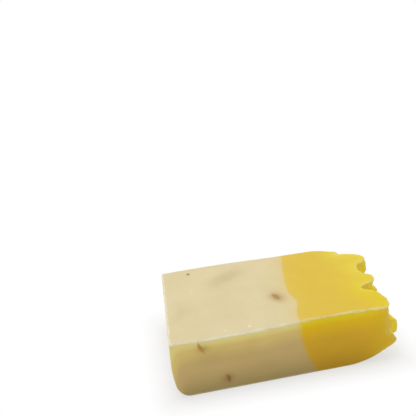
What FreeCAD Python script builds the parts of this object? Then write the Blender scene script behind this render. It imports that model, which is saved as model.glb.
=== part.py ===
import FreeCAD
import Part
import math
import os
from collections import namedtuple
from FreeCAD import Vector

# A bar of handmade soap, sliced from a loaf that was poured in two layers.
#
# Each pour is a solid of its own: a cream base with dried husk flecks in it, and a yellow
# layer on top, whose free surface was worked with a spoon into a crust of rounded dollops.
# The slice lies on one of its two cut faces, as it would on a table.
#
# Millimetres. +X runs from the moulded end (the floor of the mould) to the crust, +Y from
# the front mould wall to the back one, and +Z from the lower cut face to the upper one.
# While it is shaped, the slice starts at zero on each axis. At the end it is moved so that
# the origin is the middle of its underside.

# The slice.
LENGTH = 93.0               # moulded end to the highest dollop
WIDTH = 45.5                # between the two mould walls
THICKNESS = 27.0            # between the two knife cuts
END_SKEW = 2.4              # the moulded end stands back by this at the back wall
END_FOOT_RADIUS = 6.0       # round between the moulded end and the lower face
WALL_EDGE_RADIUS = 0.7      # eased edges where the mould walls end
RIDGE_BEVEL = 0.7           # planed ridge round the upper face

# The lower face curves up under the crust.
LIFT_LENGTH = 22.0          # how far short of the highest dollop it begins
LIFT_HEIGHT = 11.3          # how high it gets there

# The back shoulder, where the yellow layer falls away from the mould wall.
SHOULDER_LENGTH = 21.4      # how far short of the highest dollop it begins
SHOULDER_DEPTH = 9.0        # lost from the width there
SHOULDER_RADIUS = 15.0      # round where the shoulder leaves the wall

# The knife wandered, so the upper face is twisted: low at one edge where the other is high.
KNIFE_WANDER = 0.6
KNIFE_WAVELENGTH = 80.0
KNIFE_LOW = 22.0            # the lowest place on the front edge, from the moulded end
KNIFE_STEP = 8.0            # spacing of the places that the upper face passes through

# Where the pours meet.
BASE_POUR = 49.3            # height of the cream pour at the upper front edge
POUR_RISE_ACROSS = 7.2      # further at the back wall
POUR_RISE_DOWN = 8.2        # further at the lower face
POUR_RISE_CURVE = 1.9       # over 1, the rise comes mostly near the lower face
POUR_SWELL = 2.2            # a low swell across the pour
POUR_SWELL_PLACE = 11.6     # from the front wall
POUR_SWELL_SPREAD = 4.8
POUR_STEP = 3.0             # spacing of the places that the meeting surface passes through

# The crust of dollops, a net of small flat facets.
CRUST_DEPTH = 12.0          # highest dollop to the floor between dollops
BACK_FALL = 5.0             # how much lower the floor is at the back wall
DOME_POWER = 2.6            # how blunt a dollop is
CRUST_BLEND = 0.45          # how softly one dollop runs into the next
CRUST_SAG = 2.2             # how far the highest dollop leans towards the lower face
CRUST_FACET = 1.3           # size of a facet

OVERCUT = 3.0               # how far a cutting surface runs past what it cuts

# across and up: the place of a dollop, as shares of the width and the thickness.
# drop: below the highest dollop. spread: at this distance from its top the dollop has
# fallen by as much again. long: how many times longer than wide it is. turn: its long
# way, from straight across the bar towards the upper face.
Dollop = namedtuple("Dollop", "across up drop spread long turn")
DOLLOPS = [
    Dollop(across=0.12, up=0.52, drop=0.0, spread=2.9, long=1.6, turn=75),
    Dollop(across=-0.03, up=0.38, drop=2.6, spread=4.6, long=1.2, turn=10),
    Dollop(across=-0.02, up=0.68, drop=5.6, spread=4.8, long=1.2, turn=60),
    Dollop(across=0.08, up=0.92, drop=6.4, spread=4.8, long=1.4, turn=20),
    Dollop(across=0.06, up=1.03, drop=6.4, spread=3.0, long=1.2, turn=10),
    Dollop(across=0.18, up=1.00, drop=7.4, spread=3.0, long=1.4, turn=20),
    Dollop(across=0.42, up=1.00, drop=4.2, spread=3.3, long=1.6, turn=80),
    Dollop(across=0.73, up=0.90, drop=1.3, spread=3.8, long=1.9, turn=84),
    Dollop(across=0.58, up=0.98, drop=7.4, spread=4.2, long=1.2, turn=10),
    Dollop(across=0.29, up=0.68, drop=3.8, spread=3.4, long=1.4, turn=30),
    Dollop(across=0.25, up=0.30, drop=3.0, spread=3.8, long=1.5, turn=35),
    Dollop(across=0.47, up=0.70, drop=1.6, spread=3.3, long=1.4, turn=125),
    Dollop(across=0.44, up=0.26, drop=4.0, spread=3.8, long=1.4, turn=10),
    Dollop(across=0.61, up=0.70, drop=4.4, spread=3.0, long=1.2, turn=20),
    Dollop(across=0.64, up=0.40, drop=2.0, spread=3.8, long=1.3, turn=150),
    Dollop(across=0.81, up=0.52, drop=4.4, spread=3.4, long=1.4, turn=75),
    Dollop(across=0.83, up=0.20, drop=5.6, spread=4.0, long=1.3, turn=15),
    Dollop(across=0.92, up=0.82, drop=9.2, spread=3.6, long=1.4, turn=90),
    Dollop(across=0.97, up=0.44, drop=9.0, spread=3.8, long=1.3, turn=110),
    Dollop(across=0.62, up=0.02, drop=5.6, spread=3.8, long=1.5, turn=5),
    Dollop(across=0.10, up=0.14, drop=6.0, spread=4.2, long=1.4, turn=160),
]

# Deep folds between dollops, which run down from the upper face. floor: how far below the
# highest dollop a fold reaches. low: where it ends, as a share of the thickness.
Fold = namedtuple("Fold", "across floor low width")
FOLDS = [
    Fold(across=0.300, floor=13.0, low=0.86, width=3.0),
    Fold(across=0.580, floor=8.9, low=0.84, width=5.4),
]

# The husk flecks, let into the faces of the cream pour. Their places are shares of the
# base pour, the width and the thickness. turn: the angle of a fleck's long way in its
# face. bow: how far its spine bends.
FLECK_DEPTH = 0.9
Fleck = namedtuple("Fleck", "name face along across up length width turn bow")
FLECKS = [
    Fleck("husk_fleck_top_near_seam", "top", 0.915, 0.369, 1, 3.9, 1.3, -64, 0.3),
    Fleck("husk_fleck_top_corner", "top", 0.274, 0.905, 1, 1.2, 0.8, 10, 0.1),
    Fleck("husk_fleck_front_high", "front", 0.247, 0, 0.840, 5.7, 1.4, -71, 0.5),
    Fleck("husk_fleck_front_low", "front", 0.427, 0, 0.210, 4.5, 1.3, -76, 0.4),
    Fleck("husk_fleck_end_high", "end", 0, 0.670, 0.704, 3.6, 1.2, 24, 0.5),
    Fleck("husk_fleck_end_low", "end", 0, 0.264, 0.500, 2.4, 1.0, -40, 0.3),
    Fleck("husk_fleck_back_high", "back", 0.688, 1, 0.685, 4.4, 1.2, 33, 0.6),
    Fleck("husk_fleck_back_low", "back", 0.354, 1, 0.333, 2.8, 1.1, -15, 0.3),
    Fleck("husk_fleck_under_middle", "under", 0.547, 0.527, 0, 4.6, 1.3, 50, 0.6),
    Fleck("husk_fleck_under_front", "under", 0.820, 0.209, 0, 2.6, 1.0, -20, 0.3),
]


def places(low, high, spacing):
    """Places from low to high, about spacing apart, with both ends in."""
    count = max(3, round((high - low) / spacing))
    return [low + (high - low) * i / count for i in range(count + 1)]


def sheet(rows):
    """A smooth open surface that passes through rows of points."""
    surface = Part.BSplineSurface()
    surface.interpolate(rows)
    return surface.toShape()


def sliced(solid, knife):
    """The solids that an open surface leaves of a solid, the largest first."""
    pieces, _ = solid.generalFuse([knife])
    return sorted(pieces.Solids, key=lambda piece: -piece.Volume)


def plan_block():
    """The slice seen from above, longer than it is: mould walls and back shoulder."""
    near = -OVERCUT
    far = LENGTH + OVERCUT
    slope = SHOULDER_DEPTH / SHOULDER_LENGTH
    front_near = Vector(near, 0, -OVERCUT)
    front_far = Vector(far, 0, -OVERCUT)
    back_far = Vector(far, WIDTH - slope * (SHOULDER_LENGTH + OVERCUT), -OVERCUT)
    shoulder = Vector(LENGTH - SHOULDER_LENGTH, WIDTH, -OVERCUT)
    back_near = Vector(near, WIDTH, -OVERCUT)
    outline = [front_near, front_far, back_far, shoulder, back_near, front_near]
    block = Part.Face(Part.makePolygon(outline)).extrude(Vector(0, 0, THICKNESS + 3 * OVERCUT))
    corner = [e for e in block.Edges
              if all(abs(v.X - shoulder.x) + abs(v.Y - shoulder.y) < 0.01 for v in e.Vertexes)]
    return block.makeFillet(SHOULDER_RADIUS, corner)


def side_block():
    """The slice seen from the front: moulded end, round foot and the underside's lift."""
    far = LENGTH + OVERCUT
    top = THICKNESS + 2 * OVERCUT
    lift_start = LENGTH - LIFT_LENGTH
    lift_radius = (LIFT_LENGTH**2 + LIFT_HEIGHT**2) / (2 * LIFT_HEIGHT)
    lift_angle = math.degrees(math.asin(LIFT_LENGTH / lift_radius))

    def on_foot(angle):
        turn = math.radians(angle)
        return Vector(END_FOOT_RADIUS * (1 - math.cos(turn)), 0, END_FOOT_RADIUS * (1 - math.sin(turn)))

    def on_lift(angle):
        turn = math.radians(angle)
        return Vector(lift_start + lift_radius * math.sin(turn), 0, lift_radius * (1 - math.cos(turn)))

    edges = [
        Part.Arc(on_foot(0), on_foot(45), on_foot(90)).toShape(),
        Part.LineSegment(on_foot(90), on_lift(0)).toShape(),
        Part.Arc(on_lift(0), on_lift(lift_angle / 2), on_lift(lift_angle)).toShape(),
        Part.makePolygon([on_lift(lift_angle), Vector(far, 0, LIFT_HEIGHT), Vector(far, 0, top),
                          Vector(0, 0, top), on_foot(0)]),
    ]
    skew = Vector(END_SKEW / WIDTH, 1, 0)
    block = Part.Face(Part.Wire(edges)).extrude(skew * (WIDTH + 2 * OVERCUT))
    block.translate(skew * -OVERCUT)
    return block


def knife_height(along, across):
    """How high the knife passed."""
    wander = math.cos(2 * math.pi * (along - KNIFE_LOW) / KNIFE_WAVELENGTH)
    return THICKNESS - KNIFE_WANDER * wander * (1 - 2 * across / WIDTH)


def knife_cut():
    """The upper cut face."""
    return sheet([[Vector(x, y, knife_height(x, y))
                   for y in places(-OVERCUT, WIDTH + OVERCUT, KNIFE_STEP)]
                  for x in places(-OVERCUT, LENGTH + 2 * OVERCUT, KNIFE_STEP)])


def facing(face):
    """The way the middle of a face looks."""
    low_u, high_u, low_v, high_v = face.ParameterRange
    return face.normalAt((low_u + high_u) / 2, (low_v + high_v) / 2)


def edges_between(block, is_one, is_other):
    """The edges where a face of one kind meets a face of another, short of the crust."""
    found = []
    for edge in block.Edges:
        ways = [facing(face) for face in block.ancestorsOfType(edge, Part.Face)]
        meets = any(is_one(a) and is_other(b) for a, b in (ways, ways[::-1]))
        if meets and edge.BoundBox.XMin < LENGTH:
            found.append(edge)
    return found


def slice_block():
    """The slice before its crust is shaped: its ridge bevelled, its other edges eased."""
    block = sliced(plan_block().common(side_block()), knife_cut())[0]

    def is_upper(way):
        return way.z > 0.5

    def is_lower(way):
        return not is_upper(way)

    def is_wall(way):
        return abs(way.y) > 0.5

    def is_end_or_lower(way):
        return is_lower(way) and not is_wall(way)

    block = block.makeChamfer(RIDGE_BEVEL, edges_between(block, is_upper, is_lower)).Solids[0]
    return block.makeFillet(WALL_EDGE_RADIUS, edges_between(block, is_wall, is_end_or_lower)).Solids[0]


def dollop_drop(dollop, across, up):
    """How far below the highest dollop this one's dome lies at a place."""
    turn = math.radians(dollop.turn)
    y = across - dollop.across * WIDTH
    z = up - dollop.up * THICKNESS
    along = (y * math.cos(turn) + z * math.sin(turn)) / dollop.long
    aside = z * math.cos(turn) - y * math.sin(turn)
    return dollop.drop + dollop.spread * (math.hypot(along, aside) / dollop.spread) ** DOME_POWER


def fold_share(fold, across, up):
    """How much of a fold's depth is felt at a place, from 0 to 1."""
    half = fold.width / 2
    side = math.exp(-((across - fold.across * WIDTH) / half) ** 4)
    return side / (1 + math.exp((fold.low * THICKNESS - up) / half))


def crust_height(across, up):
    """The top of the crust: the dollops, each run softly into the next, and the folds."""
    floor = CRUST_DEPTH + BACK_FALL * (across / WIDTH) ** 3
    drops = [floor] + [dollop_drop(dollop, across, up) for dollop in DOLLOPS]
    drop = -CRUST_BLEND * math.log(sum(math.exp(-d / CRUST_BLEND) for d in drops))
    for fold in FOLDS:
        drop += max(0, fold.floor - drop) * fold_share(fold, across, up)
    return LENGTH - drop


def crust_net():
    """Rows of places on the crust. The further out a place is, the more it sags."""
    rows = []
    for y in places(-OVERCUT, WIDTH + OVERCUT, CRUST_FACET):
        row = []
        for z in places(-OVERCUT, THICKNESS + OVERCUT + CRUST_SAG, CRUST_FACET):
            x = crust_height(y, z)
            out = max(0, 1 - (LENGTH - x) / CRUST_DEPTH)
            row.append(Vector(x, y, z - CRUST_SAG * out**2))
        rows.append(row)
    return rows


def crust():
    """The free surface of the yellow pour, with two facets between each four places."""
    net = crust_net()
    facets = []
    for near, far in zip(net, net[1:]):
        for a, b, c, d in zip(near, near[1:], far[1:], far):
            if (a - c).Length < (b - d).Length:
                corners = [(a, b, c), (a, c, d)]
            else:
                corners = [(a, b, d), (b, c, d)]
            facets += [Part.Face(Part.makePolygon([p, q, r, p])) for p, q, r in corners]
    shell = Part.makeShell(facets)
    shell.sewShape()
    return shell


def pour_height(across, up):
    """Where the cream pour ends."""
    swell = POUR_SWELL * math.exp(-((across - POUR_SWELL_PLACE) / POUR_SWELL_SPREAD) ** 2)
    down = max(0, 1 - up / THICKNESS) ** POUR_RISE_CURVE
    return BASE_POUR + POUR_RISE_ACROSS * (across / WIDTH) ** 2 + POUR_RISE_DOWN * down + swell


def pour_line():
    """The surface where the two pours meet."""
    return sheet([[Vector(pour_height(y, z), y, z)
                   for z in places(-OVERCUT, THICKNESS + OVERCUT, POUR_STEP)]
                  for y in places(-OVERCUT, WIDTH + OVERCUT, POUR_STEP)])


def pours():
    """The cream base and the yellow top, which meet face to face."""
    bar = sliced(slice_block(), crust())[0]
    halves = sliced(bar, pour_line())[:2]
    return sorted(halves, key=lambda half: half.CenterOfMass.x)


def fleck_seat(fleck):
    """A fleck's place on its face, the way across it, the way up it and the way out."""
    along = fleck.along * BASE_POUR
    across = fleck.across * WIDTH
    up = fleck.up * THICKNESS
    if fleck.face == "top":
        return Vector(along, across, knife_height(along, across)), Vector(1, 0, 0), Vector(0, 0, 1)
    if fleck.face == "under":
        return Vector(along, across, 0), Vector(1, 0, 0), Vector(0, 0, -1)
    if fleck.face == "front":
        return Vector(along, 0, up), Vector(1, 0, 0), Vector(0, -1, 0)
    if fleck.face == "back":
        return Vector(along, WIDTH, up), Vector(1, 0, 0), Vector(0, 1, 0)
    side = Vector(END_SKEW, WIDTH, 0).normalize()
    return Vector(END_SKEW * fleck.across, across, up), side, Vector(-side.y, side.x, 0)


def husk_fleck(fleck, cream):
    """One husk: a bowed, pointed flake that lies flush in its face of the cream pour."""
    place, side, out = fleck_seat(fleck)
    rise = out.cross(side)
    turn = math.radians(fleck.turn)
    spine = side * math.cos(turn) + rise * math.sin(turn)
    aside = rise * math.cos(turn) - side * math.sin(turn)
    tips = [place - spine * (fleck.length / 2), place + spine * (fleck.length / 2)]
    bulges = [place + aside * (fleck.bow + half) for half in (-fleck.width / 2, fleck.width / 2)]
    edges = []
    for bulge in bulges:
        edge = Part.BSplineCurve()
        edge.interpolate([tips[0], bulge, tips[1]])
        edges.append(edge.toShape())
    outline = Part.Wire(edges)
    outline.translate(out * FLECK_DEPTH)
    flake = Part.Face(outline).extrude(out * (-2 * FLECK_DEPTH))
    return flake.common(cream).Solids[0]


def build():
    """Every piece by name, with the origin in the middle of the underside."""
    cream, yellow = pours()
    pieces = {fleck.name: husk_fleck(fleck, cream) for fleck in FLECKS}
    pieces["cream_base"] = cream.cut(list(pieces.values())).Solids[0]
    pieces["yellow_top"] = yellow
    box = Part.makeCompound([cream, yellow]).optimalBoundingBox(False, False)
    for piece in pieces.values():
        piece.translate(Vector(-box.Center.x, -box.Center.y, -box.ZMin))
    return pieces


os.makedirs("parts", exist_ok=True)
for name, piece in build().items():
    piece.exportStep(f"parts/{name}.step")
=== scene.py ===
import math

import bmesh
import bpy
import numpy as np
from mathutils import Euler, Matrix, Vector, kdtree, noise
from mathutils.bvhtree import BVHTree
from mathutils.geometry import delaunay_2d_cdt


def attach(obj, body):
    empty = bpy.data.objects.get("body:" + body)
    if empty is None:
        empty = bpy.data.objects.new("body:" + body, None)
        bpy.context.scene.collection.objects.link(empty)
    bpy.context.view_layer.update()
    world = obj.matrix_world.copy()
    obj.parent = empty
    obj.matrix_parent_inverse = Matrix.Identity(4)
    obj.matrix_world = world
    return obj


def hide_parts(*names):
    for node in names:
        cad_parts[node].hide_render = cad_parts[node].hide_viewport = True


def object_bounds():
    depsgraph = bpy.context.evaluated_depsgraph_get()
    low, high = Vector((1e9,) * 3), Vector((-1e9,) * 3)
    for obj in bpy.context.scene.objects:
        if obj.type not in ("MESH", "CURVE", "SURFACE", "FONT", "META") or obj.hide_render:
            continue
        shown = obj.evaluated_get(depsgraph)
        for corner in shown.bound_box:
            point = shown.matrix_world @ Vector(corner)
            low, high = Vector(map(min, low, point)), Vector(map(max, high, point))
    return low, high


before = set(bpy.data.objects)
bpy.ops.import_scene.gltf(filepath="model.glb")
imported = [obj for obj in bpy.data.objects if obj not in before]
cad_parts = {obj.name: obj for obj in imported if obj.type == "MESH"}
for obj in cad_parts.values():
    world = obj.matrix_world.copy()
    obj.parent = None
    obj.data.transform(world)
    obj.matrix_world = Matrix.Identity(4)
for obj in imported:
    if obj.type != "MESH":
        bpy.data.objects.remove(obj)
cad_low, cad_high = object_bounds()


# The bar as the knife left it, both soaps in one skin.
# A slice of a cast loaf: the mould made its walls and one end, a knife its two wide faces,
# and a spoon the crust at the other end. Soap is waxy, so no edge of it stays sharp.
MM = 0.001
BAR_WIDTH = 45.5
BAR_THICKNESS = 27.0
KNIFE_TWIST = 0.6
KNIFE_WAVE = 80.0
LIFT_RADIUS = 27.1
LIFT_START = 71.0
LIFT_SKEW = 2.4
BACK_TAPER = 0.42
BACK_TAPER_START = 71.6
SKIN_MESH = 0.35

bar_start = Vector((cad_low.x, (cad_low.y + cad_high.y) / 2 - BAR_WIDTH / 2 * MM, cad_low.z))


def in_bar(points):
    """Places in millimetres: along the bar, across it and up from its underside."""
    return (points - np.array(bar_start)) / MM


def rise(value, low, high):
    """A soft step from 0 at low to 1 at high."""
    share = np.clip((value - low) / (high - low), 0, 1)
    return share * share * (3 - 2 * share)


def knife_drift(along):
    """How the knife wandered on its way along the bar, between -1 and 1."""
    return np.cos(2 * math.pi * (along - 22.0) / KNIFE_WAVE)


def back_sag(along, across):
    """How far the back of the upper face has sunk since the cut."""
    return (0.22 * knife_drift(along) - 0.16) * np.maximum(0, 2 * across / BAR_WIDTH - 1)


def knife_height(along, across):
    """The upper face, a little twisted, because the knife wandered."""
    twist = KNIFE_TWIST * knife_drift(along) * (1 - 2 * across / BAR_WIDTH)
    return BAR_THICKNESS - twist - back_sag(along, across)


def underside_height(along, across):
    """The lower face, which curves up under the crust."""
    past = np.clip(along - LIFT_SKEW * across / BAR_WIDTH - LIFT_START, 0, LIFT_RADIUS)
    return LIFT_RADIUS - np.sqrt(LIFT_RADIUS**2 - past**2)


def below_upper_face(places):
    """How far places are below the upper face."""
    along, across, up = places.T
    return knife_height(along, across) - up


def above_lower_face(places):
    """How far places are above the lower face."""
    along, across, up = places.T
    return up - underside_height(along, across)


def crust_share(places):
    """1 on the crust, 0 on the faces that the mould and the knife made."""
    along, across, up = places.T
    to_back = BAR_WIDTH - BACK_TAPER * np.maximum(0, along - BACK_TAPER_START) - across
    depth = np.min([below_upper_face(places), above_lower_face(places), across, to_back], 0)
    return rise(depth, 0.2, 1.6) * rise(along, 70, 75)


def skin_of(nodes, mesh_size):
    """One closed skin of even small faces round some CAD solids."""
    gathered = bmesh.new()
    for node in nodes:
        gathered.from_mesh(node.data)
    bmesh.ops.remove_doubles(gathered, verts=gathered.verts, dist=1e-7)
    surface = BVHTree.FromBMesh(gathered)
    rough = bpy.data.meshes.new("rough")
    gathered.to_mesh(rough)
    gathered.free()
    holder = bpy.data.objects.new("rough", rough)
    bpy.context.scene.collection.objects.link(holder)
    remesh = holder.modifiers.new("even", "REMESH")
    remesh.mode = "VOXEL"
    remesh.voxel_size = mesh_size * MM
    shown = holder.evaluated_get(bpy.context.evaluated_depsgraph_get())
    skin = bpy.data.meshes.new_from_object(shown)
    bpy.data.objects.remove(holder)
    bpy.data.meshes.remove(rough)

    # Even faces cut the corners, so each point goes back to the solids' own surface.
    reach = 1.3 * mesh_size * MM
    ways = [v.normal.copy() for v in skin.vertices]
    for v, way in zip(skin.vertices, ways):
        touched = surface.ray_cast(v.co + reach * way, -way, 2 * reach)[0]
        if touched:
            v.co = touched
    skin.update()
    return skin


def points_of(mesh):
    """A mesh's points, one to a row."""
    points = np.empty(len(mesh.vertices) * 3, np.float32)
    mesh.vertices.foreach_get("co", points)
    return points.reshape(-1, 3).astype(float)


def ways_out(mesh):
    """The way out of a mesh at each of its points."""
    ways = np.empty(len(mesh.vertices) * 3, np.float32)
    mesh.vertex_normals.foreach_get("vector", ways)
    return ways.reshape(-1, 3).astype(float)


def set_points(mesh, points):
    """Moves a mesh's points to new ones."""
    mesh.vertices.foreach_set("co", points.astype(np.float32).ravel())
    mesh.update()


def eased(mesh, points, strength, times):
    """The points drawn towards their neighbours, as handling eases wax."""
    edges = np.empty(len(mesh.edges) * 2, np.int32)
    mesh.edges.foreach_get("vertices", edges)
    one, other = edges.reshape(-1, 2).T
    total = len(points)
    neighbours = np.bincount(one, minlength=total) + np.bincount(other, minlength=total)
    for _ in range(times):
        middle = np.empty_like(points)
        for axis in range(3):
            summed = np.bincount(one, points[other, axis], total)
            summed += np.bincount(other, points[one, axis], total)
            middle[:, axis] = summed / neighbours
        points = points + strength[:, None] * (middle - points)
    return points


def shift_of(seed):
    """Where in the noise a seed starts."""
    return Vector((seed * 7.31, seed * 3.17, seed * 5.73))


def wandering(places, size, seed):
    """Smooth noise between about -1 and 1, in swells of a size in millimetres."""
    shift = shift_of(seed)
    return np.array([noise.noise(Vector(p) / size + shift) for p in places])


def lumped(places, size, seed):
    """Rounded lumps with creases between them, from 0 in a crease to about 1."""
    shift = shift_of(seed)
    heights = []
    for p in places:
        near, _ = noise.voronoi(Vector(p) / size + shift)
        heights.append(min(1.0, near[1] - near[0]) ** 0.6)
    return np.array(heights)


def marked(mesh, name, values):
    """Keeps a value at each point of a mesh, for its material to read."""
    mark = mesh.attributes.new(name, "FLOAT", "POINT")
    mark.data.foreach_set("value", values.astype(np.float32))


FOOT_SAG = 0.455
FOOT_REACH = 3.8
CORNER_REACH = 4.5
CORNER_RISE = 6.0


def settled(places):
    """Small sags since the cut: the upper face's back, the moulded end's foot and corner."""
    along, across, up = places.T
    by_end = np.exp(-((along / FOOT_REACH) ** 2))
    foot = FOOT_SAG * by_end * np.exp(-((up / FOOT_REACH) ** 2))
    from_middle = ((up - CORNER_REACH) / CORNER_RISE) ** 2
    corner = by_end * np.exp(-((across / CORNER_REACH) ** 2) - from_middle)
    moved = places.copy()
    moved[:, 2] -= back_sag(along, across) * rise(up, 18, 26)
    moved[:, 0] += foot + corner
    moved[:, 2] += foot
    return moved


HUMP_SIZE = 5.2
CUP_SIZE = 4.4
SMALL_LUMP_SIZE = 2.1
DAB_HEIGHT = 1.1
CURL = 1.8


def spooned(places):
    """How far the crust stands out: humps, cups among them, and small lumps on both."""
    curled = places.copy()
    curled[:, 1] += CURL * wandering(places, 6.0, 3)
    curled[:, 2] += CURL * wandering(places, 6.0, 4)
    humped = rise(wandering(curled, 8.0, 11), -0.25, 0.25)
    humps = lumped(curled, HUMP_SIZE, 1) - 0.75
    cups = 0.6 - lumped(curled, CUP_SIZE, 12)
    small = 0.25 * lumped(curled, SMALL_LUMP_SIZE, 7) - 0.16 + 0.14 * wandering(places, 1.3, 2)
    return DAB_HEIGHT * (humped * humps + (1 - humped) * cups) - 0.15 + small


FOOT_EDGE = 0.9


def swollen(places):
    """Slow swells of a cast face, and a foot that the mould kept sharper than the rest."""
    swells = -0.03 - 0.04 * wandering(places, 14.0, 5) - 0.015 * wandering(places, 4.0, 6)
    to_wall = np.minimum(places[:, 1], BAR_WIDTH - places[:, 1])
    return swells + 0.4 * np.maximum(0, 1 - (to_wall + places[:, 2]) / FOOT_EDGE)


# Single dabs that stand further out or in: across, up, how wide and how far out.
SINGLE_DABS = [
    (18.4, 26.0, 2.2, -0.7),
    (22.8, 26.0, 1.6, 0.6),
    (6.1, 26.0, 2.2, 0.8),
    (0.0, 25.0, 3.0, -0.6),
    (0.0, 3.5, 2.0, -0.5),
]


def torn_out(places):
    """How far the crust's torn outline stands out along the bar."""
    from_end = np.column_stack([np.zeros(len(places)), places[:, 1:]])
    torn = 0.34 * wandering(from_end, 2.6, 13) + 0.16 * wandering(from_end, 1.2, 14) - 0.2
    for across, up, wide, out in SINGLE_DABS:
        torn += out * np.exp(-(((places[:, 1:] - (across, up)) / wide) ** 2).sum(1))
    return torn * rise(places[:, 0], 74, 80)


# The steps of the even net are eased out first, and the crust's own facets after them.
whole = skin_of(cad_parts.values(), SKIN_MESH)
crusty = crust_share(in_bar(points_of(whole)))
set_points(whole, eased(whole, points_of(whole), 0.15 + 0.35 * crusty, 5))
set_points(whole, eased(whole, points_of(whole), 0.5 * crusty, 14))

# Then come the sags, the swells and the spoon's work.
places = settled(in_bar(points_of(whole)))
crusty = crust_share(places)
lumps = np.zeros(len(places))
lumps[crusty > 0] = spooned(places[crusty > 0])
moved = places + ways_out(whole) * (swollen(places) + crusty * lumps)[:, None]
moved[:, 0] += torn_out(places)

# The dabs that reach furthest are rounded off before the end of the bar.
ROUND_OFF = 1.2
furthest = (cad_high.x - bar_start.x) / MM
beyond = np.maximum(0, moved[:, 0] - furthest + ROUND_OFF)
moved[:, 0] -= beyond - ROUND_OFF * (1 - np.exp(-beyond / ROUND_OFF))
set_points(whole, moved * MM + np.array(bar_start))
smoothed = eased(whole, points_of(whole), 0.45 * crusty, 5)
set_points(whole, np.clip(smoothed, np.array(cad_low), np.array(cad_high)))

# How deep each place lies in the crust's creases, for the painted shade in its creases and
# the painted highlight on its crests.
places = in_bar(points_of(whole))
crusty = crust_share(places)
ways = ways_out(whole)
smooth = in_bar(eased(whole, points_of(whole), np.full(len(places), 0.5), 8))
marked(whole, "hollow", ((smooth - places) * ways).sum(1))


def finder_of(places, numbers):
    """Finds the nearest of some places, given by their numbers."""
    finder = kdtree.KDTree(len(numbers))
    for i in numbers:
        finder.insert(places[i], i)
    finder.balance()
    return finder


on_edge = (below_upper_face(places) < 0.8) & (ways[:, 2] > 0.5) & (ways[:, 2] < 0.9)
ridge_finder = finder_of(places, np.flatnonzero(on_edge))
crust_finder = finder_of(places, np.flatnonzero(crusty > 0.6)[::4])
rim_finder = finder_of(places, np.flatnonzero((crusty > 0.1) & (crusty < 0.4)))


def apart_from(finder, places, wanted):
    """How far the wanted places are from those in a finder. The others count as far."""
    far = 99.0
    apart = np.full(len(places), far)
    for i in np.flatnonzero(wanted):
        apart[i] = finder.find(places[i])[2]
    return apart


# The face where the two soaps meet.
# The cream soap was poured first and the yellow one on it while it was soft, so they meet
# in a wavy face with no gap. Each soap is closed there by the same face.
POUR_START = 49.3
POUR_SLANT = 7.2
POUR_DROOP = 8.2
POUR_SWELL = 2.2
SWELL_ACROSS = 11.6
SWELL_WIDTH = 4.8
POUR_MESH = 1.0


def pour_height(across, up):
    """How far along the bar the cream pour ends."""
    slant = POUR_SLANT * (across / BAR_WIDTH) ** 2
    droop = POUR_DROOP * np.maximum(0, 1 - up / BAR_THICKNESS) ** 1.9
    swell = POUR_SWELL * np.exp(-((across - SWELL_ACROSS) / SWELL_WIDTH) ** 2)
    return POUR_START + slant + droop + swell


def parted(skin, name, is_cream):
    """Half of the bar's skin, closed where the pours meet."""
    half = bmesh.new()
    half.from_mesh(skin)

    def slid(way):
        """Slides the bar along so that the meeting face becomes flat, or back again."""
        for v in half.verts:
            place = (v.co - bar_start) / MM
            v.co.x += way * float(pour_height(place.y, place.z)) * MM

    slid(-1)
    cut = bmesh.ops.bisect_plane(
        half,
        geom=half.verts[:] + half.edges[:] + half.faces[:],
        dist=1e-8,
        plane_co=(bar_start.x, 0, 0),
        plane_no=(1, 0, 0),
        clear_outer=is_cream,
        clear_inner=not is_cream,
    )
    rim_edges = [e for e in cut["geom_cut"] if isinstance(e, bmesh.types.BMEdge)]
    rim = list({v: None for e in rim_edges for v in e.verts})
    number = {v: n for n, v in enumerate(rim)}
    flat = [Vector((v.co.y, v.co.z)) for v in rim]
    step = POUR_MESH * MM
    inset = step / 2
    low_y, high_y = min(p.x for p in flat), max(p.x for p in flat)
    low_z, high_z = min(p.y for p in flat), max(p.y for p in flat)
    for y in np.arange(low_y + inset, high_y - inset, step):
        for z in np.arange(low_z + inset, high_z - inset, step):
            flat.append(Vector((y, z)))
    ties = [(number[e.verts[0]], number[e.verts[1]]) for e in rim_edges]
    spots, _, faces, origins, _, _ = delaunay_2d_cdt(flat, ties, [], 1, 1e-9)
    made = []
    for spot, origin in zip(spots, origins):
        known = [n for n in origin if n < len(rim)]
        if known:
            made.append(rim[known[0]])
        else:
            made.append(half.verts.new((bar_start.x, spot.x, spot.y)))
    for face in faces:
        corners = [made[n] for n in face]
        if len(set(corners)) == 3:
            half.faces.new(corners)
    slid(1)
    for e in rim_edges:
        e.smooth = False
    bmesh.ops.delete(half, geom=[v for v in half.verts if not v.link_faces], context="VERTS")
    bmesh.ops.recalc_face_normals(half, faces=half.faces)
    for face in half.faces:
        face.smooth = True
    mesh = bpy.data.meshes.new(name)
    half.to_mesh(mesh)
    half.free()
    return mesh


# The finish that both soaps share: pale and satin on a cut face, with a fine waxy grain.
# Soap lets light in, so a wall is bright just under the ridge and dull lower down, and the
# thin crust is vivid; this light and shade is painted into the soaps' colours. The knife
# broke the ridge to a dry pale line, which is partly a painted highlight.
def paint(red, green, blue):
    """A colour as a shader takes it, from its 0 to 255 values on a screen."""
    shares = [c / 255 for c in (red, green, blue)]
    light = [c / 12.92 if c < 0.04045 else ((c + 0.055) / 1.055) ** 2.4 for c in shares]
    return (*light, 1.0)


def joined(tree, value, socket):
    """Gives a socket a value, or links it to where the value comes from."""
    if isinstance(value, bpy.types.NodeSocket):
        tree.links.new(value, socket)
    else:
        socket.default_value = value


def blended(tree, share, under, over):
    """One colour laid over another by a share."""
    mix = tree.nodes.new("ShaderNodeMix")
    mix.data_type = "RGBA"
    for value, socket in ((share, mix.inputs[0]), (under, mix.inputs[6]), (over, mix.inputs[7])):
        joined(tree, value, socket)
    return mix.outputs[2]


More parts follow.
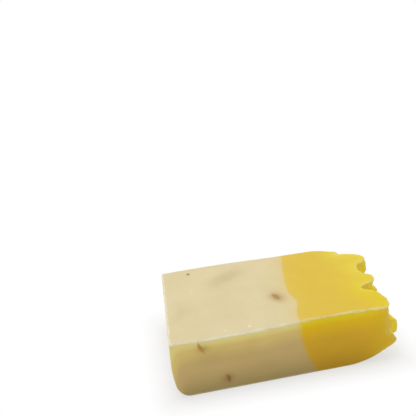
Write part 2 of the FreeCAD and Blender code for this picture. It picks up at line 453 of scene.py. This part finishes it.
def worked(tree, operation, *values, clamp=False):
    """A sum, product or other work on values or sockets."""
    work = tree.nodes.new("ShaderNodeMath")
    work.operation = operation
    work.use_clamp = clamp
    for value, socket in zip(values, work.inputs):
        joined(tree, value, socket)
    return work.outputs[0]


def stepped(tree, value, low, high):
    """A soft step from 0 at low to 1 at high."""
    step = tree.nodes.new("ShaderNodeMapRange")
    step.interpolation_type = "SMOOTHSTEP"
    for number, socket in ((value, 0), (low, 1), (high, 2)):
        joined(tree, number, step.inputs[socket])
    return step.outputs[0]


def scaled(tree, colour, factor):
    """A colour made lighter or darker by a factor."""
    scale = tree.nodes.new("ShaderNodeVectorMath")
    scale.operation = "SCALE"
    joined(tree, colour, scale.inputs[0])
    joined(tree, factor, scale.inputs["Scale"])
    return scale.outputs[0]


def mark_value(tree, name):
    """The value that the mesh keeps under a name."""
    reader = tree.nodes.new("ShaderNodeAttribute")
    reader.attribute_name = name
    return reader.outputs["Fac"]


def clouded(tree, scale, detail, roughness=0.5):
    """Soft clouds, so many to a metre, in the row frame."""
    where = tree.nodes.new("ShaderNodeTexCoord").outputs["Object"]
    cloud = tree.nodes.new("ShaderNodeTexNoise")
    joined(tree, where, cloud.inputs["Vector"])
    for name, value in (("Scale", scale), ("Detail", detail), ("Roughness", roughness)):
        joined(tree, value, cloud.inputs[name])
    return cloud.outputs["Fac"]


def new_effect(name, inputs, outputs):
    """A node group with named inputs and outputs, and its two ends."""
    group = bpy.data.node_groups.new(name, "ShaderNodeTree")
    for title, kind, value in inputs:
        socket = group.interface.new_socket(title, in_out="INPUT", socket_type="NodeSocket" + kind)
        socket.default_value = value
    for title, kind in outputs:
        group.interface.new_socket(title, in_out="OUTPUT", socket_type="NodeSocket" + kind)
    start = group.nodes.new("NodeGroupInput")
    end = group.nodes.new("NodeGroupOutput")
    return group, start.outputs, end.inputs


def placed(tree, group, values):
    """A node group in a material, with that material's own values."""
    node = tree.nodes.new("ShaderNodeGroup")
    node.node_tree = group
    for name, value in values.items():
        joined(tree, value, node.inputs[name])
    return node.outputs


WHITE = (1.0, 1.0, 1.0, 1.0)

# Poured soap: its colour on a cut face, and down a wall from the ridge to the foot. The wall
# colours are partly the mould skin's own warmer colour and partly painted light and shade: a
# glow under the ridge and by the crust, and painted shade darkening towards the foot.
poured_colour_and_painted_light, given, made = new_effect(
    "poured_colour_and_painted_light",
    [
        ("Cut Face", "Color", WHITE),
        ("Cut Face By Crust", "Color", WHITE),
        ("Under Ridge", "Color", WHITE),
        ("High Wall", "Color", WHITE),
        ("Middle Wall", "Color", WHITE),
        ("Low Wall", "Color", WHITE),
        ("Wall By Crust", "Color", WHITE),
    ],
    [("Color", "Color")],
)
down = mark_value(poured_colour_and_painted_light, "below_ridge")
wall = given["Under Ridge"]
for start, end, name in ((0.05, 0.17, "High Wall"), (0.13, 0.45, "Middle Wall"), (0.45, 1.0, "Low Wall")):
    wall = blended(poured_colour_and_painted_light, stepped(poured_colour_and_painted_light, down, start, end), wall, given[name])
close = mark_value(poured_colour_and_painted_light, "near_crust")
close_on_wall = worked(poured_colour_and_painted_light, "MULTIPLY", close, 0.75)
wall = blended(poured_colour_and_painted_light, close_on_wall, wall, given["Wall By Crust"])
face = blended(poured_colour_and_painted_light, close, given["Cut Face"], given["Cut Face By Crust"])
face = blended(poured_colour_and_painted_light, mark_value(poured_colour_and_painted_light, "cut"), wall, face)
joined(poured_colour_and_painted_light, face, made["Color"])

# Waxy grain: warm patches, mottle, a satin that changes, fine relief and a few pinholes,
# which are darkened with painted shade.
waxy_grain, given, made = new_effect(
    "waxy_grain",
    [
        ("Mottle", "Float", 0.1),
        ("Pinholes", "Float", 0.2),
        ("Satin", "Float", 0.42),
        ("Satin Change", "Float", 0.2),
    ],
    [("Warmth", "Float"), ("Mottle And Pit Shade", "Float"), ("Roughness", "Float"), ("Height", "Float")],
)
warm_patches = stepped(waxy_grain, clouded(waxy_grain, 45.0, 2.0), 0.35, 0.7)
joined(waxy_grain, warm_patches, made["Warmth"])
broad = clouded(waxy_grain, 110.0, 2.0)
fine = clouded(waxy_grain, 420.0, 3.0, 0.6)
grain = clouded(waxy_grain, 1100.0, 3.0, 0.6)
cells = waxy_grain.nodes.new("ShaderNodeTexVoronoi")
cells.inputs["Scale"].default_value = 300.0
where = waxy_grain.nodes.new("ShaderNodeTexCoord").outputs["Object"]
joined(waxy_grain, where, cells.inputs["Vector"])
few = stepped(waxy_grain, cells.outputs["Color"], 0.62, 0.66)
outside = stepped(waxy_grain, cells.outputs["Distance"], 0.03, 0.09)
pinhole = worked(waxy_grain, "SUBTRACT", 1.0, outside)
pinhole = worked(waxy_grain, "MULTIPLY", pinhole, few)
pinhole = worked(waxy_grain, "MULTIPLY", pinhole, given["Pinholes"])
both = worked(waxy_grain, "MULTIPLY_ADD", fine, 0.5, broad)
mottled = worked(waxy_grain, "SUBTRACT", both, 0.75)
mottled = worked(waxy_grain, "MULTIPLY_ADD", mottled, given["Mottle"], 1.0)
# The pinholes are darkened: painted shade in their pits.
joined(waxy_grain, worked(waxy_grain, "SUBTRACT", mottled, pinhole), made["Mottle And Pit Shade"])
satin = worked(waxy_grain, "MULTIPLY_ADD", fine, given["Satin Change"], given["Satin"])
joined(waxy_grain, satin, made["Roughness"])
height = worked(waxy_grain, "MULTIPLY_ADD", broad, 2.0, fine)
height = worked(waxy_grain, "MULTIPLY_ADD", grain, 0.35, height)
pit = worked(waxy_grain, "MULTIPLY", pinhole, 8.0)
joined(waxy_grain, worked(waxy_grain, "SUBTRACT", height, pit), made["Height"])

# Spooned crust: ashy here and there, with painted shade deepening its creases and a painted
# highlight paling its crests.
spooned_crust, given, made = new_effect(
    "spooned_crust",
    [
        ("Soap", "Color", WHITE),
        ("Crust", "Color", WHITE),
        ("Crease Shade", "Color", WHITE),
        ("Crest Highlight And Ash", "Color", WHITE),
    ],
    [("Color", "Color")],
)
ashy = stepped(spooned_crust, clouded(spooned_crust, 230.0, 3.0), 0.52, 0.68)
ashy = worked(spooned_crust, "MULTIPLY", ashy, 0.4)
rough_side = blended(spooned_crust, ashy, given["Crust"], given["Crest Highlight And Ash"])
hollow = mark_value(spooned_crust, "hollow")
crease_shade = stepped(spooned_crust, hollow, 0.02, 0.22)
rough_side = blended(spooned_crust, crease_shade, rough_side, given["Crease Shade"])
crest_highlight = stepped(spooned_crust, hollow, -0.02, -0.25)
rough_side = blended(spooned_crust, crest_highlight, rough_side, given["Crest Highlight And Ash"])
tone = blended(spooned_crust, mark_value(spooned_crust, "crust"), given["Soap"], rough_side)
joined(spooned_crust, tone, made["Color"])

# Dry ridge: the pale broken line that the knife leaves, with soap showing between. The pale
# line is partly dry soap and partly a painted highlight on the edge.
dry_and_highlit_ridge, given, made = new_effect(
    "dry_and_highlit_ridge",
    [("Soap", "Color", WHITE), ("Dry And Highlight", "Color", WHITE), ("Amount", "Float", 1.0)],
    [("Color", "Color")],
)
patches = stepped(dry_and_highlit_ridge, clouded(dry_and_highlit_ridge, 520.0, 3.0, 0.6), 0.30, 0.62)
patches = worked(dry_and_highlit_ridge, "MULTIPLY_ADD", patches, 0.45, 0.55)
share = worked(dry_and_highlit_ridge, "MULTIPLY", mark_value(dry_and_highlit_ridge, "ridge"), patches)
share = worked(dry_and_highlit_ridge, "MULTIPLY", share, given["Amount"])
joined(dry_and_highlit_ridge, blended(dry_and_highlit_ridge, share, given["Soap"], given["Dry And Highlight"]), made["Color"])

# Husk stain: husks buried in the soap show through it as soft brown clouds.
husk_stain, given, made = new_effect(
    "husk_stain", [("Soap", "Color", WHITE), ("Stain", "Color", WHITE)], [("Color", "Color")]
)
stained = blended(husk_stain, mark_value(husk_stain, "cloud"), given["Soap"], given["Stain"])
joined(husk_stain, stained, made["Color"])

STAIN = paint(158, 120, 62)


def soap_finish(name, own, other, dry_and_highlit, crust, crease_shade_and_warm_tone, crest_highlight_and_ash):
    """A soap's material. own and other: the colours of this soap and of its neighbour."""
    finish = bpy.data.materials.new(name)
    finish.use_nodes = True
    tree = finish.node_tree
    shader = tree.nodes["Principled BSDF"]
    own_grain = {"Mottle": 0.10, "Pinholes": 0.14, "Satin": 0.36, "Satin Change": 0.24}
    grain = placed(tree, waxy_grain, own_grain)

    tone = placed(tree, poured_colour_and_painted_light, own)["Color"]
    warm = worked(tree, "MULTIPLY", grain["Warmth"], 0.10)
    tone = blended(tree, warm, tone, crease_shade_and_warm_tone)
    own_crust = {"Soap": tone, "Crust": crust, "Crease Shade": crease_shade_and_warm_tone, "Crest Highlight And Ash": crest_highlight_and_ash}
    tone = placed(tree, spooned_crust, own_crust)["Color"]
    neighbour = placed(tree, poured_colour_and_painted_light, other)["Color"]
    tone = blended(tree, mark_value(tree, "bleed_and_glow"), tone, neighbour)
    tone = placed(tree, husk_stain, {"Soap": tone, "Stain": STAIN})["Color"]
    tone = scaled(tree, tone, grain["Mottle And Pit Shade"])
    tone = placed(tree, dry_and_highlit_ridge, {"Soap": tone, "Dry And Highlight": dry_and_highlit, "Amount": 0.86})["Color"]
    joined(tree, tone, shader.inputs["Base Color"])
    joined(tree, grain["Roughness"], shader.inputs["Roughness"])

    relief = tree.nodes.new("ShaderNodeBump")
    relief.inputs["Strength"].default_value = 0.5
    relief.inputs["Distance"].default_value = 0.00008
    joined(tree, grain["Height"], relief.inputs["Height"])
    joined(tree, relief.outputs["Normal"], shader.inputs["Normal"])
    shader.inputs["IOR"].default_value = 1.46
    shader.inputs["Specular IOR Level"].default_value = 0.22
    return finish


# The buried husks: where they are along, across and up, their half sizes along and across
# themselves, the turn from along the bar towards its back, and how brown they make it.
CLOUDS = [
    (29.0, 35.0, 26.0, 8.5, 3.8, 24, 0.30),
    (45.6, 16.4, 27.0, 3.4, 2.6, -55, 0.50),
    (45.1, 17.2, 27.0, 2.0, 1.2, -64, 0.35),
    (46.0, 19.5, 27.0, 5.5, 4.0, -60, 0.08),
    (6.6, 15.8, 26.5, 4.0, 2.6, 60, 0.12),
    (13.5, 41.1, 27.0, 1.0, 0.9, 0, 0.30),
    (12.2, 0.5, 22.5, 2.0, 1.6, 0, 0.40),
    (15.0, 0.5, 18.5, 5.0, 4.0, 0, 0.16),
    (21.1, 0.0, 5.6, 2.4, 2.4, 0, 0.60),
    (36.0, 2.0, 9.0, 4.0, 3.0, 0, 0.16),
    (34.0, 44.6, 18.6, 3.4, 2.4, 30, 0.45),
    (17.5, 44.6, 9.0, 2.6, 1.8, -15, 0.45),
    (42.0, 43.6, 7.0, 4.0, 2.6, 10, 0.30),
    (1.0, 30.5, 19.0, 2.4, 2.4, 90, 0.45),
    (1.0, 12.0, 13.5, 2.0, 2.0, 90, 0.45),
    (2.0, 38.0, 8.0, 3.4, 2.8, 90, 0.30),
    (27.0, 24.0, 0.6, 3.4, 2.2, 50, 0.50),
    (40.5, 9.5, 0.6, 2.4, 1.8, -20, 0.45),
    (13.0, 33.0, 1.4, 5.0, 2.8, 35, 0.35),
]

# Crumbs of dry soap on the upper face: along, across and how pale.
CRUMBS = [
    (30.8, 3.2, 0.95),
    (21.5, 3.4, 0.6),
    (37.0, 20.5, 0.25),
    (13.0, 29.5, 0.3),
    (43.0, 20.0, 0.3),
]
CRUMB_SIZE = 0.45


def cloudiness(places):
    """How brown the buried husks make the soap."""
    total = np.zeros(len(places))
    for along, across, up, long, wide, turn, deep in CLOUDS:
        away = places - np.array((along, across, up))
        angle = math.radians(turn)
        ahead = away[:, 0] * math.cos(angle) + away[:, 1] * math.sin(angle)
        aside = np.sqrt(np.maximum(0, (away**2).sum(1) - ahead**2))
        total += deep * np.exp(-((ahead / long) ** 2) - (aside / wide) ** 2)
    return np.minimum(1, total)


def crumb_share(places):
    """How much of a pale crumb is at a place on the upper face."""
    total = np.zeros(len(places))
    for along, across, pale in CRUMBS:
        apart = np.hypot(places[:, 0] - along, places[:, 1] - across)
        total += pale * np.exp(-((apart / CRUMB_SIZE) ** 2))
    return total * (below_upper_face(places) < 1)


def cut_share(places):
    """1 on the two faces that the knife made, 0 on the walls and the crust."""
    to_cut = np.minimum(below_upper_face(places), above_lower_face(places))
    return (1 - rise(to_cut, 0.25, 1.1)) * (1 - crust_share(places))


def face_marks(mesh):
    """Marks the kinds of face, which a soap's colour follows, and where it carries painted light."""
    places = in_bar(points_of(mesh))
    by_crust = apart_from(crust_finder, places, places[:, 0] > 58)
    to_wall = np.minimum(places[:, 1], BAR_WIDTH - places[:, 1])
    # Near the moulded end's corner a wall takes the colour from under the ridge: a painted glow of light
    # shining through the edge.
    by_corner = np.exp(-((np.hypot(places[:, 0], to_wall) / 3.0) ** 2))
    below_ridge = below_upper_face(places) / BAR_THICKNESS
    marked(mesh, "cut", cut_share(places))
    marked(mesh, "below_ridge", below_ridge * (1 - 0.62 * by_corner))
    # Near the crust the soap takes vivid colours: a painted glow of light through the thin soap.
    marked(mesh, "near_crust", np.exp(-((by_crust / 7.0) ** 1.5)))


def wear_marks(mesh):
    """Marks where a soap is pale: dry ridge and rim with a painted highlight, and dry crumbs."""
    places = in_bar(points_of(mesh))
    crusty = crust_share(places)
    cut = cut_share(places)
    by_ridge = apart_from(ridge_finder, places, below_upper_face(places) < 2.5)
    ridge = 1 - rise(by_ridge * (1 + 0.8 * cut), 0.1, 0.62)
    ridge *= 0.75 + 0.25 * wandering(places, 5.0, 8)
    rim = rise(crusty, 0, 0.15) * (1 - rise(crusty, 0.2, 0.5))
    by_rim = apart_from(rim_finder, places, places[:, 0] > 66)
    beside = 0.65 * np.exp(-((by_rim / (1.8 - 0.9 * cut)) ** 2)) * (0.5 + 0.5 * cut)
    broken = 0.75 + 0.5 * wandering(places, 4.0, 9)
    rim = 0.8 * np.maximum(rim, beside) * broken
    # Paler on the cut face within a few millimetres of the crust's rim.
    paler_near_rim = 0.2 * np.exp(-by_rim / 4.0) * rise(places[:, 1], 8, 24) * cut
    dry_and_highlit = np.max([ridge, rim, paler_near_rim], 0) + crumb_share(places)
    marked(mesh, "ridge", np.minimum(1, dry_and_highlit))
    marked(mesh, "crust", crusty)


def bleed_and_glow_marks(mesh, glow_share, glow_reach):
    """Marks where the neighbour's colour shows: mixed at the meeting face, and a painted glow."""
    places = in_bar(points_of(mesh))
    cut = cut_share(places)
    apart = np.abs(places[:, 0] - pour_height(places[:, 1], places[:, 2]))
    run = 0.5 * (1 - rise(apart, 0.0, 0.45 + 0.6 * (1 - cut)))
    # The glow is painted light: the neighbour's colour, fading with distance from the meeting face.
    glow = glow_share * np.exp(-apart / glow_reach) * cut
    marked(mesh, "bleed_and_glow", np.maximum(run, glow))


# The cream soap, poured first.
# A plain cold-process soap, with husks stirred in while it was thin. It is the paler and
# the clearer of the two, so the yellow one glows through it where they meet; the glow is
# painted into its colour.
# Down a wall, from Under Ridge to Low Wall, and by the crust, these colours are partly the mould skin's
# own and partly painted light and shade: bright where light shines through the soap, darker towards the
# foot.
CREAM = {
    "Cut Face": paint(224, 209, 166),
    "Cut Face By Crust": paint(226, 214, 160),
    "Under Ridge": paint(255, 236, 146),
    "High Wall": paint(242, 214, 128),
    "Middle Wall": paint(220, 190, 124),
    "Low Wall": paint(190, 168, 110),
    "Wall By Crust": paint(230, 200, 120),
}
# The yellow soap's wall colours carry the same painted light and shade.
YELLOW = {
    "Cut Face": paint(223, 190, 66),
    "Cut Face By Crust": paint(230, 206, 34),
    "Under Ridge": paint(255, 226, 16),
    "High Wall": paint(250, 204, 4),
    "Middle Wall": paint(230, 180, 40),
    "Low Wall": paint(204, 160, 38),
    "Wall By Crust": paint(248, 208, 0),
}

cream_mesh = parted(whole, "cream_soap", True)
face_marks(cream_mesh)
wear_marks(cream_mesh)
bleed_and_glow_marks(cream_mesh, 0.3, 5.5)
marked(cream_mesh, "cloud", cloudiness(in_bar(points_of(cream_mesh))))
# The dry colour is partly a painted highlight on the ridge and rim, the crease colour is painted shade in
# the crust's creases and a warm tone, and the crest colour is partly a painted highlight.
cream_mesh.materials.append(
    soap_finish(
        "cream_soap",
        CREAM,
        YELLOW,
        dry_and_highlit=paint(255, 249, 226),
        crust=paint(232, 216, 150),
        crease_shade_and_warm_tone=paint(190, 160, 90),
        crest_highlight_and_ash=paint(240, 228, 180),
    )
)
cream_soap = bpy.data.objects.new("cream_soap", cream_mesh)
bpy.context.scene.collection.objects.link(cream_soap)
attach(cream_soap, "root")
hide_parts("cream_base")


# The yellow soap, poured on the cream one.
# The same soap with a yellow colour in it and no husks. It had begun to set when a spoon
# worked its top into the crust, and it is fused to the cream soap.
yellow_mesh = parted(whole, "yellow_soap", False)
face_marks(yellow_mesh)
wear_marks(yellow_mesh)
bleed_and_glow_marks(yellow_mesh, 0.12, 3.0)
marked(yellow_mesh, "cloud", np.zeros(len(yellow_mesh.vertices)))
# The dry colour is partly a painted highlight on the ridge and rim, the crease colour is painted shade in
# the crust's creases and a warm tone, and the crest colour is partly a painted highlight.
yellow_mesh.materials.append(
    soap_finish(
        "yellow_soap",
        YELLOW,
        CREAM,
        dry_and_highlit=paint(255, 243, 176),
        crust=paint(252, 224, 4),
        crease_shade_and_warm_tone=paint(246, 194, 0),
        crest_highlight_and_ash=paint(255, 238, 44),
    )
)
yellow_soap = bpy.data.objects.new("yellow_soap", yellow_mesh)
bpy.context.scene.collection.objects.link(yellow_soap)
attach(yellow_soap, "root")
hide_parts("yellow_top")


# The husk flecks, stirred into the cream soap.
# Dried oat husks, ribbed along their length. The knife and the mould wall left the outer
# ones flush with the soap, which smears over their edges.
HUSK_MESH = 0.09
RIB_STEP = 0.3
PROUD = 0.02


def husk_finish(name, middle, tip, rib):
    """A husk's material: ribs, a darker tip, and soap smeared over its outline."""
    finish = bpy.data.materials.new(name)
    finish.use_nodes = True
    tree = finish.node_tree
    shader = tree.nodes["Principled BSDF"]
    own_grain = {"Mottle": 0.35, "Pinholes": 0.0, "Satin": 0.45, "Satin Change": 0.3}
    grain = placed(tree, waxy_grain, own_grain)
    tone = blended(tree, mark_value(tree, "to_tip"), middle, tip)
    tone = blended(tree, mark_value(tree, "rib"), tone, rib)
    tone = scaled(tree, tone, grain["Mottle And Pit Shade"])
    soap = placed(tree, poured_colour_and_painted_light, CREAM)["Color"]
    soap = placed(tree, husk_stain, {"Soap": soap, "Stain": STAIN})["Color"]
    tone = blended(tree, mark_value(tree, "smeared"), tone, soap)
    joined(tree, tone, shader.inputs["Base Color"])
    joined(tree, grain["Roughness"], shader.inputs["Roughness"])
    relief = tree.nodes.new("ShaderNodeBump")
    relief.inputs["Strength"].default_value = 0.6
    relief.inputs["Distance"].default_value = 0.00006
    joined(tree, grain["Height"], relief.inputs["Height"])
    joined(tree, relief.outputs["Normal"], shader.inputs["Normal"])
    return finish


orange_husk = husk_finish("orange_husk", paint(196, 140, 60), paint(180, 122, 50), paint(162, 112, 56))
golden_husk = husk_finish("golden_husk", paint(212, 164, 40), paint(176, 108, 20), paint(190, 140, 40))
brown_husk = husk_finish("brown_husk", paint(170, 100, 38), paint(156, 90, 34), paint(140, 84, 36))

# Two of them lie under a thin film of soap, so they look paler, and are bowed.
HUSK_KINDS = {"husk_fleck_top_near_seam": orange_husk, "husk_fleck_front_high": golden_husk}
BOWS = {"husk_fleck_top_near_seam": (0.2, 0.1, 0), "husk_fleck_front_high": (-1.2, 0, 0)}

for name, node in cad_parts.items():
    if not name.startswith("husk_fleck"):
        continue
    flake = skin_of([node], HUSK_MESH)
    set_points(flake, eased(flake, points_of(flake), np.full(len(flake.vertices), 0.4), 3))
    places = in_bar(points_of(flake))
    middle = places.mean(0)
    spread, turns = np.linalg.eigh(np.cov((places - middle).T))
    long_way = turns[:, 2]
    out_way = np.eye(3)[np.abs(ways_out(flake)).mean(0).argmax()]
    side_way = np.cross(long_way, out_way)
    reach = ((places - middle) @ long_way) / np.sqrt(4.8 * spread[2])
    aside = (places - middle) @ side_way
    outline = np.hypot(reach, aside / np.abs(aside).max())
    rib = 0.5 + 0.5 * np.sin(aside / RIB_STEP * 2 * math.pi + 2 * reach)

    # It is a little wider than its seat, ribbed, and may be bowed.
    places += 0.15 * (places - middle) * (1 - out_way)
    places += ways_out(flake) * (PROUD + PROUD * rib)[:, None]
    bow = np.maximum(0, 1 - reach**2) * (1 + 0.6 * reach)
    places += np.outer(bow, BOWS.get(name, (0, 0, 0)))
    flake_points = settled(places) * MM + np.array(bar_start)
    set_points(flake, np.clip(flake_points, np.array(cad_low), np.array(cad_high)))

    face_marks(flake)
    marked(flake, "rib", 0.7 * rib)
    marked(flake, "to_tip", rise(reach, -0.6, 0.9))
    marked(flake, "smeared", 0.4 * rise(outline, 0.85, 1.15))
    marked(flake, "cloud", cloudiness(places))
    for face in flake.polygons:
        face.use_smooth = True
    flake.materials.append(HUSK_KINDS.get(name, brown_husk))
    fleck = bpy.data.objects.new(name.replace("husk_fleck", "husk"), flake)
    bpy.context.scene.collection.objects.link(fleck)
    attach(fleck, "root")
    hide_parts(name)


# The table.
# A plain matt white sheet. It keeps the bar's shadow close to the bar, and is white away
# from it.
HALF_TABLE = 3.0
table_mesh = bpy.data.meshes.new("table")
table_mesh.from_pydata(
    [(x * HALF_TABLE, y * HALF_TABLE, 0) for x, y in ((-1, -1), (1, -1), (1, 1), (-1, 1))],
    [],
    [(0, 1, 2, 3)],
)
table = bpy.data.objects.new("table", table_mesh)
bpy.context.scene.collection.objects.link(table)
white_sheet = bpy.data.materials.new("white_sheet")
white_sheet.use_nodes = True
tree = white_sheet.node_tree
matt = tree.nodes["Principled BSDF"]
matt.inputs["Base Color"].default_value = (0.84, 0.84, 0.84, 1)
matt.inputs["Roughness"].default_value = 0.9
plain_white = tree.nodes.new("ShaderNodeEmission")
reach = tree.nodes.new("ShaderNodeTexCoord").outputs["Object"]
for operation, other in (
    ("ABSOLUTE", None),
    ("SUBTRACT", (cad_high.x, cad_high.y, 0)),
    ("MAXIMUM", (0, 0, 0)),
):
    work = tree.nodes.new("ShaderNodeVectorMath")
    work.operation = operation
    joined(tree, reach, work.inputs[0])
    if other:
        work.inputs[1].default_value = other
    reach = work.outputs["Vector"]
away = tree.nodes.new("ShaderNodeVectorMath")
away.operation = "LENGTH"
joined(tree, reach, away.inputs[0])
lift = worked(tree, "MULTIPLY_ADD", away.outputs["Value"], 40.0, 0.6, clamp=True)
path = tree.nodes.new("ShaderNodeLightPath")
lift = worked(tree, "MULTIPLY", path.outputs["Is Camera Ray"], lift)
either = tree.nodes.new("ShaderNodeMixShader")
joined(tree, lift, either.inputs["Fac"])
joined(tree, matt.outputs[0], either.inputs[1])
joined(tree, plain_white.outputs[0], either.inputs[2])
joined(tree, either.outputs[0], tree.nodes["Material Output"].inputs["Surface"])
table_mesh.materials.append(white_sheet)


# The light.
# A white room, and one large soft box that hangs above the bar and a little behind it, so
# that the upper face is bright and the front wall lies in shade.
room = bpy.data.worlds.new("white_room")
bpy.context.scene.world = room
room.use_nodes = True
tree = room.node_tree
air = tree.nodes["Background"]
air.inputs["Color"].default_value = WHITE
air.inputs["Strength"].default_value = 0.5
white_air = tree.nodes.new("ShaderNodeBackground")
white_air.inputs["Color"].default_value = WHITE
path = tree.nodes.new("ShaderNodeLightPath")
seen = worked(tree, "MAXIMUM", path.outputs["Is Camera Ray"], path.outputs["Is Glossy Ray"])
seen = worked(tree, "MAXIMUM", seen, path.outputs["Is Transmission Ray"])
either = tree.nodes.new("ShaderNodeMixShader")
joined(tree, seen, either.inputs["Fac"])
joined(tree, air.outputs[0], either.inputs[1])
joined(tree, white_air.outputs[0], either.inputs[2])
joined(tree, either.outputs[0], tree.nodes["World Output"].inputs["Surface"])

soft_box = bpy.data.lights.new("soft_box", "AREA")
soft_box.shape = "RECTANGLE"
soft_box.size = 0.9
soft_box.size_y = 0.7
soft_box.energy = 4.0
lamp = bpy.data.objects.new("soft_box", soft_box)
lamp.location = (-0.10, 0.22, 0.75)
lamp.rotation_euler = (-Vector(lamp.location)).to_track_quat("-Z", "Y").to_euler()
bpy.context.scene.collection.objects.link(lamp)


# The camera.
# It stands in front of the bar, to its left, and looks down on it. Place, turn and lens
# were fitted to the corners of the bar.
camera = bpy.data.cameras.new("camera")
camera.sensor_width = 36.0
camera.lens = 45.4
camera.clip_start = 0.01
viewer = bpy.data.objects.new("camera", camera)
viewer.location = (-0.051536, -0.167266, 0.157766)
viewer.rotation_euler = Euler([math.radians(a) for a in (62.006, 3.458, -10.792)])
bpy.context.scene.collection.objects.link(viewer)
bpy.context.scene.camera = viewer
bpy.context.scene.view_settings.view_transform = "Standard"
